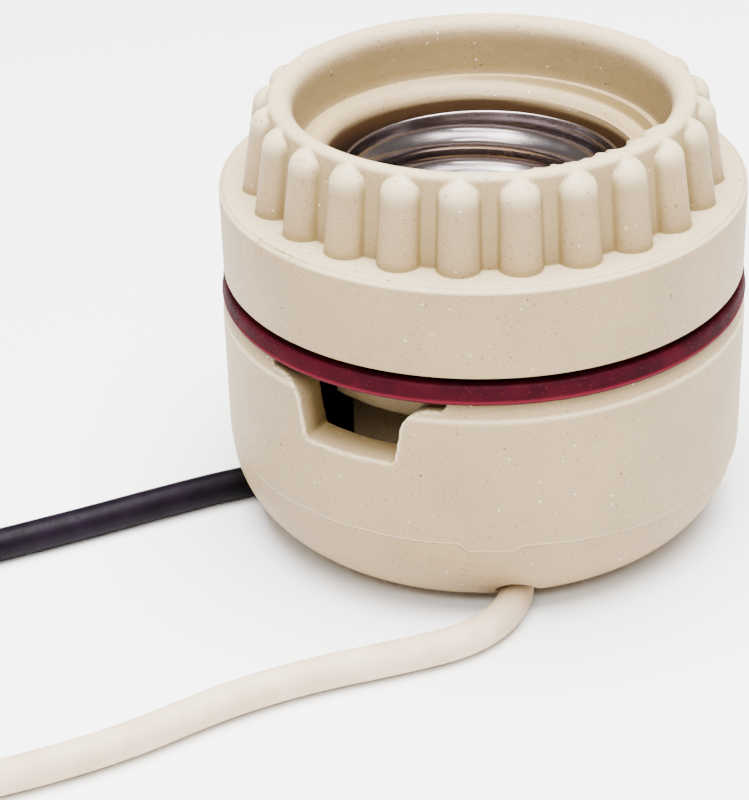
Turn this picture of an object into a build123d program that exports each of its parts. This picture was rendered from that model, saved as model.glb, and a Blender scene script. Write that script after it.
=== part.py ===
from build123d import *
import math
import os

# Keyless lamp socket for a medium screw base, in millimetres, with its foot at z 0 and its notch towards -Y.
# A porcelain cup holds a porcelain core with the screw shell. A ribbed porcelain ring screws on the core's
# neck and clamps a panel on the red gasket. Two leads leave through channels under the cup's bottom edge.

# Driving dimensions of the screw shell: the lamp's screw sets its inner radius, and all radii follow from it
shell_inner_radius = 13.4
shell_sheet = 0.4
shell_corner_radius = 0.8
shell_gap = 1.4
shell_drop = 2.4
shell_rivet_gap = 0.1
second_rivet_turn = 30.0
shell_floor_overhang = 0.6
rivet_shank_radius = 1.2
rivet_head_radius = 1.8
rivet_head_thickness = 0.7
rivet_head_bevel = 0.35
rivet_wall = 1.7

# Driving dimensions of the base cup
cup_wall = 3.7
cup_corner_radius = 8.6
cup_inner_corner_radius = 4.4
foot_recess_margin = 0.4
foot_recess_depth = 3.4
cup_floor_thickness = 3.2
seat_height = 24.1
seat_chamfer_height = 1.7
seat_chamfer_width = 0.7

# Driving dimensions of the notch in the cup's rim
notch_depth = 6.8
notch_sill_half_width = 4.7
notch_top_half_width = 5.3
notch_corner_radius = 2.8
relief_depth = 0.9
relief_margin = 1.1

# Driving dimensions of the socket core
neck_height = 14.3
neck_wall = 2.35
neck_outer_round = 0.25
neck_inner_round = 1.6
collar_step = 1.45
collar_overhang = 1.6
core_collar_thickness = 5.6
wiring_room = 2.9
skirt_wall = 3.8
core_floor_top = 14.0
core_floor_thickness = 3.8
core_ledge_height = 4.0
wire_groove_width = 6.0
wire_groove_depth = 1.1
wire_groove_angle = -116.5
passage_inset = 1.2
passage_drop = 1.3

# Driving dimensions of the gasket and the clamp ring
gasket_thickness = 1.8
gasket_edge = 0.15
thread_clearance = 0.35
panel_gap = 0.7
flange_inset = 0.3
flange_thickness = 8.9
flange_edge_round = 0.6
ring_height = 17.4
lip_width = 2.3
collar_draft = 1.0
lip_outer_round = 1.0
lip_inner_round = 0.9
rib_count = 24
rib_phase = -5.3
rib_radius = 2.15
rib_lean = 0.9
rib_top_drop = 0.15
rib_proud_of_collar = 1.95

# Driving dimensions of the centre contact and the terminals
contact_sheet = 0.5
contact_width = 4.6
contact_root_margin = 1.7
contact_root_flat = 4.2
contact_height = 3.4
contact_tip_bend = 1.6
contact_tip_end = 4.0
contact_tip_drop = 0.9
contact_bend_radius = 1.0
terminal_sheet = 0.6
terminal_width = 4.0
barrel_outer_radius = 1.5
barrel_length = 3.4
barrel_gap = 1.3
barrel_drop = 1.2
terminal_gap = 1.2
barrel_clearance = 0.05
rivet_edge_margin = 2.0

# Driving dimensions of the two screws that hold the core in the cup, and of their threaded inserts
screw_inset = 4.2
screw_angles = (80.0, -100.0)
screw_shank_radius = 1.5
screw_head_radius = 2.8
screw_head_height = 2.1
screw_head_bevel = 0.7
screw_length = 7.4
screw_slot_width = 0.8
screw_slot_depth = 1.0
insert_radius = 2.2
insert_length = 5.0
boss_wall = 1.0
screw_clearance = 0.05

# Driving dimensions of the leads and of the ways that they take out of the cup
lead_radius = 1.6
conductor_radius = 0.6
lead_height_on_table = 1.65
lead_bend_in_step = 2.4
lead_bend_out_inset = 4.7
lead_gap = 0.4
stripped_length = 9.0
bend_share = 0.45
exit_hole_radius = 1.95
exit_hole_overrun = 1.5
channel_radius = 1.85
channel_rise = 0.25
channel_length = 8.0
window_width = 4.4
black_exit_angle = -149.0
white_exit_angle = -50.9

# How far a cut runs past the surface that it opens
cut_margin = 1.0

# Radii and widths worked out from the driving dimensions
shell_outer_radius = shell_inner_radius + shell_sheet
core_bore_radius = shell_outer_radius + shell_gap
neck_radius = core_bore_radius + neck_wall
core_collar_radius = neck_radius + collar_step
barrel_radius = core_collar_radius - collar_overhang
cup_inner_radius = core_collar_radius + wiring_room
cup_radius = cup_inner_radius + cup_wall
core_recess_radius = barrel_radius - skirt_wall
wire_groove_floor = barrel_radius - wire_groove_depth
passage_floor = core_recess_radius - passage_inset
gasket_radius = cup_radius
flange_radius = cup_radius - flange_inset
ring_bore_radius = neck_radius + thread_clearance
collar_top_radius = ring_bore_radius + lip_width
collar_foot_radius = collar_top_radius + collar_draft
shell_rivet_place = shell_inner_radius - shell_corner_radius - rivet_head_radius - shell_rivet_gap
core_well_radius = shell_rivet_place - rivet_wall
shell_floor_hole_radius = core_well_radius - shell_floor_overhang
centre_terminal_start = terminal_width / 2 + terminal_gap
contact_rivet_place = centre_terminal_start + rivet_edge_margin
contact_root_end = contact_rivet_place + contact_root_margin
contact_bend = contact_root_end - contact_root_flat
barrel_start = contact_rivet_place + rivet_head_radius + barrel_gap
screw_place = core_recess_radius - screw_inset
foot_recess_radius = screw_place + screw_head_radius + foot_recess_margin
boss_radius = insert_radius + boss_wall
lead_bend_in = core_recess_radius + lead_bend_in_step
lead_bend_out = cup_radius - lead_bend_out_inset
lead_start = barrel_start + barrel_length + lead_gap
conductor_start = barrel_start + lead_gap
shell_rivet_angles = (white_exit_angle + 180, white_exit_angle + second_rivet_turn)
relief_half_width = notch_top_half_width + notch_corner_radius + relief_margin

# Heights worked out from the driving dimensions
cup_floor_top = foot_recess_depth + cup_floor_thickness
notch_sill_height = seat_height - notch_depth
core_floor_bottom = core_floor_top - core_floor_thickness
core_ledge_top = core_floor_top + core_ledge_height
core_collar_bottom = seat_height - core_collar_thickness
passage_top = core_collar_bottom - passage_drop
neck_top = seat_height + neck_height
shell_top = neck_top - shell_drop
shell_floor_top = core_ledge_top + shell_sheet
terminal_bottom = core_floor_bottom - terminal_sheet
lead_height_inside = terminal_bottom - barrel_drop
screw_head_bottom = foot_recess_depth - screw_head_height
gasket_top = seat_height + gasket_thickness
ring_bottom = gasket_top + panel_gap
flange_top = ring_bottom + flange_thickness
ring_top = ring_bottom + ring_height
channel_height = lead_height_on_table + channel_rise

# The leads' places on the table, after the bend under the cup's edge
black_table_points = [
    (-21.3, -14.6), (-25.4, -20.6), (-31.0, -29.4), (-38.6, -40.4), (-50.5, -50.5), (-65.8, -56.2),
    (-82.8, -55.6), (-98.2, -48.4), (-109.2, -35.6), (-114.4, -20.2),
]
white_table_points = [
    (14.5, -21.2), (13.4, -26.6), (9.2, -32.0), (3.6, -38.3), (-1.2, -45.6), (-6.0, -56.5),
    (-15.5, -69.0), (-29.5, -79.0), (-46.5, -84.2), (-63.8, -82.6), (-77.8, -76.0),
]


def on_ray(angle, radius, height):
    """Point at a distance from the axis, on the ray that leaves it at an angle."""
    return (
        radius * math.cos(math.radians(angle)),
        radius * math.sin(math.radians(angle)),
        height,
    )


def ray_plane(angle):
    """Upright plane that holds the axis and the ray: its x runs along the ray and its y upwards."""
    direction = on_ray(angle, 1, 0)
    return Plane(origin=(0, 0, 0), x_dir=direction, z_dir=(direction[1], -direction[0], 0))


def facing_plane(angle, radius):
    """Upright plane across the ray at a distance from the axis, facing outwards, with its y upwards."""
    direction = on_ray(angle, 1, 0)
    return Plane(
        origin=on_ray(angle, radius, 0),
        x_dir=(-direction[1], direction[0], 0),
        z_dir=direction,
    )


def write(name, part):
    """Labels a finished piece and writes its file."""
    part.label = name
    export_step(part, f"parts/{name}.step")


os.makedirs("parts", exist_ok=True)

# Base cup: a turned section with a big round below, a flat seat on top and a recessed foot
with BuildPart() as base_cup:
    with BuildSketch(Plane.XZ):
        with BuildLine():
            foot = Line((foot_recess_radius, 0), (cup_radius - cup_corner_radius, 0))
            corner = TangentArc(foot @ 1, (cup_radius, cup_corner_radius), tangent=(1, 0))
            wall = Line(corner @ 1, (cup_radius, seat_height - seat_chamfer_height))
            chamfer_line = Line(wall @ 1, (cup_radius - seat_chamfer_width, seat_height))
            seat = Line(chamfer_line @ 1, (cup_inner_radius, seat_height))
            inner_wall = Line(seat @ 1, (cup_inner_radius, cup_floor_top + cup_inner_corner_radius))
            inner_corner = TangentArc(
                inner_wall @ 1,
                (cup_inner_radius - cup_inner_corner_radius, cup_floor_top),
                tangent=(0, -1),
            )
            floor = Line(inner_corner @ 1, (0, cup_floor_top))
            axis_line = Line(floor @ 1, (0, foot_recess_depth))
            recess = Line(axis_line @ 1, (foot_recess_radius, foot_recess_depth))
            Line(recess @ 1, foot @ 0)
        make_face()
    revolve(axis=Axis.Z)

    # Notch through the rim, with a shallow relief above it and rounded shoulders between the two
    with BuildSketch(Plane.XZ.offset(core_collar_radius)) as notch:
        with BuildLine():
            Polyline(
                (-notch_sill_half_width, notch_sill_height),
                (notch_sill_half_width, notch_sill_height),
                (notch_top_half_width, seat_height - relief_depth),
                (relief_half_width, seat_height - relief_depth),
                (relief_half_width, seat_height + relief_depth),
                (-relief_half_width, seat_height + relief_depth),
                (-relief_half_width, seat_height - relief_depth),
                (-notch_top_half_width, seat_height - relief_depth),
                close=True,
            )
        make_face()
        shoulders = notch.vertices().filter_by(
            lambda v: abs(abs(v.X) - notch_top_half_width) < 0.01
        )
        fillet(shoulders, radius=notch_corner_radius)
    extrude(amount=cup_radius - core_collar_radius + cut_margin, mode=Mode.SUBTRACT)

    # One slanted hole and one floor channel for each lead
    for exit_angle, table_points in (
        (black_exit_angle, black_table_points),
        (white_exit_angle, white_table_points),
    ):
        bend_in = Vector(*on_ray(exit_angle, lead_bend_in, lead_height_inside))
        bend_out = Vector(*on_ray(exit_angle, lead_bend_out, lead_height_on_table))
        slant = (bend_out - bend_in).normalized()
        with BuildSketch(Plane(origin=bend_in - slant * exit_hole_overrun, z_dir=slant)):
            Circle(exit_hole_radius)
        extrude(amount=(bend_out - bend_in).length + 2 * exit_hole_overrun, mode=Mode.SUBTRACT)
        channel_way = Vector(*table_points[0], lead_height_on_table) - bend_out
        channel_plane = Plane(
            origin=(bend_out.X, bend_out.Y, 0),
            x_dir=(-channel_way.Y, channel_way.X, 0),
            z_dir=channel_way,
        )
        with BuildSketch(channel_plane):
            with Locations((0, channel_height)):
                Circle(channel_radius)
            with Locations((0, channel_height / 2)):
                Rectangle(2 * channel_radius, channel_height)
        extrude(amount=channel_length, mode=Mode.SUBTRACT)

    # Holes for the two screws that hold the core
    with BuildSketch(Plane.XY):
        for screw_angle in screw_angles:
            with Locations(on_ray(screw_angle, screw_place, 0)):
                Circle(screw_shank_radius + screw_clearance)
    extrude(amount=cup_floor_top, mode=Mode.SUBTRACT)
write("base_cup", base_cup.part)

# Socket core: neck, collar under the gasket, barrel, floor and the recess for the terminals
with BuildPart() as socket_core:
    with BuildSketch(Plane.XZ):
        with BuildLine():
            bottom = Line((core_recess_radius, cup_floor_top), (barrel_radius, cup_floor_top))
            barrel = Line(bottom @ 1, (barrel_radius, core_collar_bottom))
            collar_under = Line(barrel @ 1, (core_collar_radius, core_collar_bottom))
            collar_side = Line(collar_under @ 1, (core_collar_radius, seat_height))
            collar_over = Line(collar_side @ 1, (neck_radius, seat_height))
            neck = Line(collar_over @ 1, (neck_radius, neck_top - neck_outer_round))
            outer_round = TangentArc(
                neck @ 1, (neck_radius - neck_outer_round, neck_top), tangent=(0, 1)
            )
            crest = Line(outer_round @ 1, (core_bore_radius + neck_inner_round, neck_top))
            inner_round = TangentArc(
                crest @ 1, (core_bore_radius, neck_top - neck_inner_round), tangent=(-1, 0)
            )
            bore = Line(inner_round @ 1, (core_bore_radius, core_ledge_top))
            ledge = Line(bore @ 1, (core_well_radius, core_ledge_top))
            well = Line(ledge @ 1, (core_well_radius, core_floor_top))
            core_floor = Line(well @ 1, (0, core_floor_top))
            core_axis = Line(core_floor @ 1, (0, core_floor_bottom))
            core_recess = Line(core_axis @ 1, (core_recess_radius, core_floor_bottom))
            Line(core_recess @ 1, bottom @ 0)
        make_face()
    revolve(axis=Axis.Z)

    # Bosses in the recess for the threaded inserts
    with BuildSketch(Plane.XY.offset(cup_floor_top)):
        for screw_angle in screw_angles:
            with Locations(on_ray(screw_angle, screw_place, 0)):
                Circle(boss_radius)
    extrude(amount=core_floor_bottom - cup_floor_top)
    with BuildSketch(Plane.XY.offset(cup_floor_top)):
        for screw_angle in screw_angles:
            with Locations(on_ray(screw_angle, screw_place, 0)):
                Circle(insert_radius)
    extrude(amount=insert_length, mode=Mode.SUBTRACT)

    # Two wire grooves down the outside, each with a passage into the recess under the floor
    for groove_angle in (wire_groove_angle, wire_groove_angle + 180):
        with BuildSketch(facing_plane(groove_angle, wire_groove_floor)):
            with Locations((0, (seat_height + cup_floor_top) / 2)):
                Rectangle(wire_groove_width, seat_height - cup_floor_top)
        extrude(amount=core_collar_radius - wire_groove_floor + cut_margin, mode=Mode.SUBTRACT)
        with BuildSketch(facing_plane(groove_angle, passage_floor)):
            with Locations((0, (passage_top + cup_floor_top) / 2)):
                Rectangle(wire_groove_width, passage_top - cup_floor_top)
        extrude(amount=barrel_radius - passage_floor + cut_margin, mode=Mode.SUBTRACT)

    # Windows through the skirt for the leads
    for exit_angle in (black_exit_angle, white_exit_angle):
        with BuildSketch(facing_plane(exit_angle, core_recess_radius - cut_margin)):
            with Locations((0, (cup_floor_top + core_floor_bottom) / 2)):
                Rectangle(window_width, core_floor_bottom - cup_floor_top)
        extrude(amount=barrel_radius - core_recess_radius + 2 * cut_margin, mode=Mode.SUBTRACT)

    # Rivet holes through the floor and through the ledge around it
    with BuildSketch(Plane.XY.offset(core_floor_bottom)):
        with Locations(on_ray(black_exit_angle, contact_rivet_place, 0)):
            Circle(rivet_shank_radius)
    extrude(amount=core_floor_thickness, mode=Mode.SUBTRACT)
    with BuildSketch(Plane.XY.offset(core_floor_bottom)):
        for rivet_angle in shell_rivet_angles:
            with Locations(on_ray(rivet_angle, shell_rivet_place, 0)):
                Circle(rivet_shank_radius)
    extrude(amount=core_floor_thickness + core_ledge_height, mode=Mode.SUBTRACT)
write("socket_core", socket_core.part)

# Gasket between the cup's seat and the panel
with BuildPart() as gasket:
    with BuildSketch(Plane.XY.offset(seat_height)):
        Circle(gasket_radius)
        Circle(ring_bore_radius, mode=Mode.SUBTRACT)
    extrude(amount=gasket_thickness)
    chamfer(gasket.edges().filter_by(GeomType.CIRCLE), length=gasket_edge)
write("gasket", gasket.part)

# One rib of the clamp ring: a leaning round column with a domed top
rib_foot_place = collar_foot_radius + rib_proud_of_collar - rib_radius
rib_top_height = ring_top - rib_top_drop - rib_radius
rib_foot_height = flange_top - flange_edge_round
rib_axis = Axis((rib_foot_place, 0, rib_foot_height), (-rib_lean, 0, rib_top_height - rib_foot_height))
rib_length = math.hypot(rib_lean, rib_top_height - rib_foot_height)
rib_plane = Plane(
    origin=rib_axis.position,
    x_dir=(0, 1, 0),
    z_dir=Vector(0, 1, 0).cross(rib_axis.direction),
)
with BuildPart() as rib:
    with BuildSketch(rib_plane):
        with BuildLine():
            rib_middle = Line((0, 0), (0, rib_length + rib_radius))
            rib_dome = TangentArc(rib_middle @ 1, (rib_radius, rib_length), tangent=(1, 0))
            rib_side = Line(rib_dome @ 1, (rib_radius, 0))
            Line(rib_side @ 1, rib_middle @ 0)
        make_face()
    revolve(axis=rib_axis)

# Clamp ring: flange, drafted collar with ribs, rounded lip and the bore that screws on the neck
with BuildPart() as clamp_ring:
    with BuildSketch(Plane.XZ):
        with BuildLine():
            under = Line((ring_bore_radius, ring_bottom), (flange_radius, ring_bottom))
            flange_side = Line(under @ 1, (flange_radius, flange_top - flange_edge_round))
            flange_round = TangentArc(
                flange_side @ 1, (flange_radius - flange_edge_round, flange_top), tangent=(0, 1)
            )
            flange_face = Line(flange_round @ 1, (collar_foot_radius, flange_top))
            collar_side = Line(flange_face @ 1, (collar_top_radius, ring_top))
            lip = Line(collar_side @ 1, (ring_bore_radius, ring_top))
            Line(lip @ 1, under @ 0)
        make_face()
    revolve(axis=Axis.Z)
    top_edges = clamp_ring.edges().filter_by(GeomType.CIRCLE).group_by(Axis.Z)[-1].sort_by(SortBy.RADIUS)
    fillet(top_edges[0], radius=lip_inner_round)
    outer_edge = clamp_ring.edges().filter_by(GeomType.CIRCLE).group_by(Axis.Z)[-1].sort_by(SortBy.RADIUS)[-1]
    fillet(outer_edge, radius=lip_outer_round)
    with PolarLocations(0, rib_count, start_angle=rib_phase):
        add(rib.part)
write("clamp_ring", clamp_ring.part)

# Screw shell: a sheet tube drawn with a round corner at its floor ring
with BuildPart() as screw_shell:
    with BuildSketch(Plane.XZ):
        with BuildLine():
            FilletPolyline(
                (shell_floor_hole_radius, shell_floor_top),
                (shell_inner_radius, shell_floor_top),
                (shell_inner_radius, shell_top),
                radius=shell_corner_radius,
            )
            offset(amount=shell_sheet, side=Side.RIGHT)
        make_face()
    revolve(axis=Axis.Z)
    with BuildSketch(Plane.XY.offset(core_ledge_top)):
        for rivet_angle in shell_rivet_angles:
            with Locations(on_ray(rivet_angle, shell_rivet_place, 0)):
                Circle(rivet_shank_radius)
    extrude(amount=shell_sheet, mode=Mode.SUBTRACT)
write("screw_shell", screw_shell.part)


def rivet_solid(place, low, high):
    """Rivet with a flat head below one height and a bevelled head above another."""
    with BuildPart() as body:
        with BuildSketch(Plane(origin=(place[0], place[1], low - rivet_head_thickness))):
            Circle(rivet_head_radius)
        extrude(amount=rivet_head_thickness)
        with BuildSketch(Plane(origin=(place[0], place[1], low))):
            Circle(rivet_shank_radius)
        extrude(amount=high - low)
        with BuildSketch(Plane(origin=(place[0], place[1], high))):
            Circle(rivet_head_radius)
        extrude(amount=rivet_head_thickness)
        top_edge = body.edges().filter_by(GeomType.CIRCLE).group_by(Axis.Z)[-1]
        chamfer(top_edge, length=rivet_head_bevel)
    return body.part


# Rivets that hold the shell's floor, one of them through the shell's terminal
with BuildPart() as shell_rivets:
    add(rivet_solid(on_ray(shell_rivet_angles[0], shell_rivet_place, 0), terminal_bottom, shell_floor_top))
    add(rivet_solid(on_ray(shell_rivet_angles[1], shell_rivet_place, 0), core_floor_bottom, shell_floor_top))
write("shell_rivets", shell_rivets.part)

# Centre contact: a spring leaf that lies on the core's floor at its root and rises past the axis
with BuildPart() as centre_contact:
    with BuildSketch(ray_plane(black_exit_angle)):
        with BuildLine():
            FilletPolyline(
                (contact_root_end, core_floor_top),
                (contact_bend, core_floor_top),
                (-contact_tip_bend, core_floor_top + contact_height),
                (-contact_tip_end, core_floor_top + contact_height - contact_tip_drop),
                radius=contact_bend_radius,
            )
            offset(amount=contact_sheet, side=Side.RIGHT)
        make_face()
    extrude(amount=contact_width / 2, both=True)
    with BuildSketch(Plane(origin=on_ray(black_exit_angle, contact_rivet_place, core_floor_top))):
        Circle(rivet_shank_radius)
    extrude(amount=contact_sheet, mode=Mode.SUBTRACT)
write("centre_contact", centre_contact.part)

# Rivet that joins the centre contact to its terminal through the core's floor
with BuildPart() as centre_rivet:
    add(
        rivet_solid(
            on_ray(black_exit_angle, contact_rivet_place, 0),
            terminal_bottom,
            core_floor_top + contact_sheet,
        )
    )
write("centre_rivet", centre_rivet.part)


def terminal_solid(angle, strip_start, rivet_place):
    """Terminal strip under the core's floor, with a crimp barrel for the lead's bare end."""
    with BuildPart() as body:
        strip_end = barrel_start + barrel_length
        with BuildSketch(ray_plane(angle)):
            with Locations(((strip_start + strip_end) / 2, core_floor_bottom - terminal_sheet / 2)):
                Rectangle(strip_end - strip_start, terminal_sheet)
        extrude(amount=terminal_width / 2, both=True)
        with BuildSketch(facing_plane(angle, barrel_start)):
            with Locations((0, lead_height_inside)):
                Circle(barrel_outer_radius)
        extrude(amount=barrel_length)
        with BuildSketch(facing_plane(angle, barrel_start)):
            with Locations((0, lead_height_inside)):
                Circle(conductor_radius + barrel_clearance)
        extrude(amount=barrel_length, mode=Mode.SUBTRACT)
        with BuildSketch(Plane(origin=on_ray(angle, rivet_place, terminal_bottom))):
            Circle(rivet_shank_radius)
        extrude(amount=terminal_sheet, mode=Mode.SUBTRACT)
    return body.part


with BuildPart() as centre_terminal:
    add(terminal_solid(black_exit_angle, centre_terminal_start, contact_rivet_place))
write("centre_terminal", centre_terminal.part)

with BuildPart() as shell_terminal:
    add(terminal_solid(white_exit_angle, -shell_rivet_place - rivet_edge_margin, -shell_rivet_place))
write("shell_terminal", shell_terminal.part)

# Threaded inserts in the core's bosses
with BuildPart() as threaded_inserts:
    with BuildSketch(Plane.XY.offset(cup_floor_top)):
        for screw_angle in screw_angles:
            with Locations(on_ray(screw_angle, screw_place, 0)):
                Circle(insert_radius)
                Circle(screw_shank_radius + screw_clearance, mode=Mode.SUBTRACT)
    extrude(amount=insert_length)
write("threaded_inserts", threaded_inserts.part)

# Screws that hold the core in the cup, their slotted pan heads in the foot's recess
with BuildPart() as base_screws:
    for screw_angle in screw_angles:
        with BuildSketch(Plane(origin=on_ray(screw_angle, screw_place, screw_head_bottom))):
            Circle(screw_head_radius)
        extrude(amount=screw_head_height)
    head_edges = base_screws.edges().filter_by(GeomType.CIRCLE).group_by(Axis.Z)[0]
    chamfer(head_edges, length=screw_head_bevel)
    for screw_angle in screw_angles:
        with BuildSketch(Plane(origin=on_ray(screw_angle, screw_place, foot_recess_depth))):
            Circle(screw_shank_radius)
        extrude(amount=screw_length)
        with BuildSketch(Plane(origin=on_ray(screw_angle, screw_place, screw_head_bottom))):
            Rectangle(2 * screw_head_radius + cut_margin, screw_slot_width)
        extrude(amount=screw_slot_depth, mode=Mode.SUBTRACT)
write("base_screws", base_screws.part)


def lead_points(angle, table_points):
    """Route of a lead: from its terminal through the exit hole, then over the table."""
    inside = [
        on_ray(angle, lead_start, lead_height_inside),
        on_ray(angle, lead_bend_in, lead_height_inside),
        on_ray(angle, lead_bend_out, lead_height_on_table),
    ]
    return inside + [(x, y, lead_height_on_table) for x, y in table_points]


def bend_radii(points):
    """Largest bend that the two runs beside each corner allow."""
    radii = []
    for before, here, after in zip(points, points[1:], points[2:]):
        run_in = Vector(*here) - Vector(*before)
        run_out = Vector(*after) - Vector(*here)
        half_turn = math.radians(run_in.get_angle(run_out) / 2)
        radii.append(bend_share * min(run_in.length, run_out.length) / math.tan(half_turn))
    return radii


def lead_solid(name, points):
    """Round tube of straight runs and tangent bends along a route."""
    radii = bend_radii(points)
    with BuildPart() as body:
        with BuildLine() as route:
            FilletPolyline(*points, radius=radii)
        path_length = sum(edge.length for edge in route.edges())
        with BuildSketch(Plane(origin=route.line @ 0, z_dir=route.line % 0)):
            Circle(lead_radius)
        sweep()
    expected = math.pi * lead_radius**2 * path_length
    print(name, "length", round(path_length, 1), "radii", [round(radius, 1) for radius in radii])
    print(name, "volume", round(body.part.volume, 1), "section times length", round(expected, 1))
    return body.part


def conductor_solid(angle, points):
    """Bare ends of a lead: one in the terminal's barrel and one past the insulation's far end."""
    last = Vector(*points[-1])
    direction = (last - Vector(*points[-2])).normalized()
    with BuildPart() as body:
        with BuildSketch(facing_plane(angle, conductor_start)):
            with Locations((0, lead_height_inside)):
                Circle(conductor_radius)
        extrude(amount=lead_start - conductor_start)
        with BuildSketch(Plane(origin=last, z_dir=direction)):
            Circle(conductor_radius)
        extrude(amount=stripped_length)
    return body.part


black_points = lead_points(black_exit_angle, black_table_points)
white_points = lead_points(white_exit_angle, white_table_points)

with BuildPart() as black_lead:
    add(lead_solid("black_lead", black_points))
write("black_lead", black_lead.part)

with BuildPart() as white_lead:
    add(lead_solid("white_lead", white_points))
write("white_lead", white_lead.part)

with BuildPart() as black_conductor:
    add(conductor_solid(black_exit_angle, black_points))
write("black_conductor", black_conductor.part)

with BuildPart() as white_conductor:
    add(conductor_solid(white_exit_angle, white_points))
write("white_conductor", white_conductor.part)
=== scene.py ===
import math

import bpy
from mathutils import Matrix, Vector, noise


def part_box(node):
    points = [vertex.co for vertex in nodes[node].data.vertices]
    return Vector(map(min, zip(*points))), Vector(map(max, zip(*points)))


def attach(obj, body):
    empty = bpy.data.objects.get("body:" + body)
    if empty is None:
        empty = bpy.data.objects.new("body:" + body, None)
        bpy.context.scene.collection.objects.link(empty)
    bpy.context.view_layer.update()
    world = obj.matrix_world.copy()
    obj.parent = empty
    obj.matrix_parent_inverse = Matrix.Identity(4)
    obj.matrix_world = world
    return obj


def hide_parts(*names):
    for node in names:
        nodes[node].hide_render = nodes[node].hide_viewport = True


# Keyless lamp socket in porcelain: ring, gasket, cup and core, with the screw shell and two leads.
# Lengths are in metres. Millimetre sizes are written as a number times MM.
MM = 0.001

# How near a vertex lies to a surface to count as on it, and the hole that a closed outline leaves on the axis
TOUCH = 0.01 * MM
POLE_RADIUS = 0.02 * MM

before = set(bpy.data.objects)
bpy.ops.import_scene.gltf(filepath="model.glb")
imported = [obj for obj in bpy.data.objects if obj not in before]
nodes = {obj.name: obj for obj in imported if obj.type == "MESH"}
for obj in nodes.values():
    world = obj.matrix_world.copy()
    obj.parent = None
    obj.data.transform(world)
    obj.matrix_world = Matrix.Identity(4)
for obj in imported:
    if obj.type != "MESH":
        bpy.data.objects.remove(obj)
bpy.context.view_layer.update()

# Sizes read from the frame
ring_low, ring_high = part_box("clamp_ring")
gasket_low, gasket_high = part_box("gasket")
cup_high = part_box("base_cup")[1]
core_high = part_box("socket_core")[1]
shell_low, shell_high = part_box("screw_shell")
FLANGE_RADIUS = ring_high.x
CUP_RADIUS = cup_high.x
SEAT_HEIGHT = cup_high.z
RING_BOTTOM = ring_low.z
RING_TOP = ring_high.z
NECK_TOP = core_high.z
SHELL_RADIUS = shell_high.x
SHELL_BOTTOM = shell_low.z
SHELL_TOP = shell_high.z

# Clamp ring
FLANGE_TOP = RING_BOTTOM + 8.9 * MM
FLANGE_ROUND = 0.5 * MM
RING_BORE = 17.9 * MM
COLLAR_FOOT_RADIUS = 21.2 * MM
COLLAR_TOP_RADIUS = 20.2 * MM
LIP_OUTER_ROUND = 0.65 * MM
LIP_INNER_ROUND = 1.6 * MM
RIB_COUNT = 24
RIB_PHASE = math.radians(-6.2)
RIB_STEP = 2 * math.pi / RIB_COUNT
RIB_FOOT_RADIUS = 2.04 * MM
RIB_DOME_RADIUS = 1.93 * MM
RIB_FOOT_AXIS = 21.0 * MM
RIB_LEAN = 0.9 * MM
RIB_DROP = 0.35 * MM
RIB_FILLET = 0.16 * MM
CREASE_SLOPE = 2.5
COLUMNS_ON_RIB = 0.64
RING_SIDES = 672

# Broken edges of the ring: where they start and end, in degrees, and how deep their crumbs are
BROKEN_LIP = (-49.0, 4.0)
CHIPPED_EDGE = (-117.0, -97.0)
RUBBED_EDGE = (-97.0, 20.0)
CRUMB_DEPTH = 0.9 * MM
CRUMB_RISE = 0.25 * MM
CHIP_DEPTH = 0.18 * MM

# Bends of the surface, as one over their radius, from which an edge begins to get a painted highlight and
# gets it fully
GENTLE_BEND = 0.45 / MM
SHARP_BEND = 1.5 / MM

# Thread between the ring and the neck
THREAD_LEAD = 6.35 * MM
THREAD_DEPTH = 0.75 * MM
RING_THREAD_DEPTH = THREAD_DEPTH * 0.8

# Gasket
GASKET_FLARE = 0.12 * MM
GASKET_LINE_HEIGHT = 0.3 * MM
GASKET_ROUGHNESS = 0.06 * MM
GASKET_SIDES = 360

# Base cup
CUP_WALL = 3.7 * MM
CUP_CORNER = 8.6 * MM
CUP_INNER_CORNER = 4.4 * MM
CUP_VOXEL = 0.235 * MM
CUP_SIDES = 256
FOOT_RECESS_RADIUS = 12.6 * MM
FOOT_RECESS_DEPTH = 3.4 * MM
CUP_FLOOR_TOP = 6.6 * MM
SEAT_CHAMFER_HEIGHT = 1.7 * MM
SEAT_CHAMFER_WIDTH = 0.7 * MM
NOTCH_SILL = 17.3 * MM
NOTCH_SILL_HALF = 4.7 * MM
NOTCH_TOP_HALF = 5.3 * MM
NOTCH_ROUND = 2.8 * MM
NOTCH_CUT_START = 20.2 * MM
NOTCH_CUT_LENGTH = 8 * MM
RELIEF_DEPTH = 0.9 * MM
RELIEF_HALF = 9.2 * MM

# Parting line of the cup's mould, with its jog in front, in degrees round the cup and metres of height
PARTING_STEP = 0.14 * MM
PARTING_HEIGHT = 9.35 * MM
PARTING_WOBBLE = 0.12 * MM
JOG_START = -66.2
JOG_RUN = 2.6
JOG_DROP = 0.8 * MM
JOG_END = -54.5
JOG_END_RUN = 2.5
JOG_RISE = 0.55 * MM
PARTING_FALL = 0.02 * MM
PARTING_END = 120.0

# Seam value for the shader: SEAM_LINE on the parting line, 1 more over SEAM_REACH of height, within limits.
# The tint changes over SEAM_STEP, and the painted highlight along the line's upper edge comes over SEAM_EDGE
# and goes over SEAM_FADE.
SEAM_LINE = 0.5
SEAM_LOWEST = 0.05
SEAM_REACH = 4 * MM
SEAM_STEP = (0.46, SEAM_LINE)
SEAM_EDGE = (0.485, 0.51)
SEAM_FADE = (0.515, 0.55)

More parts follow.
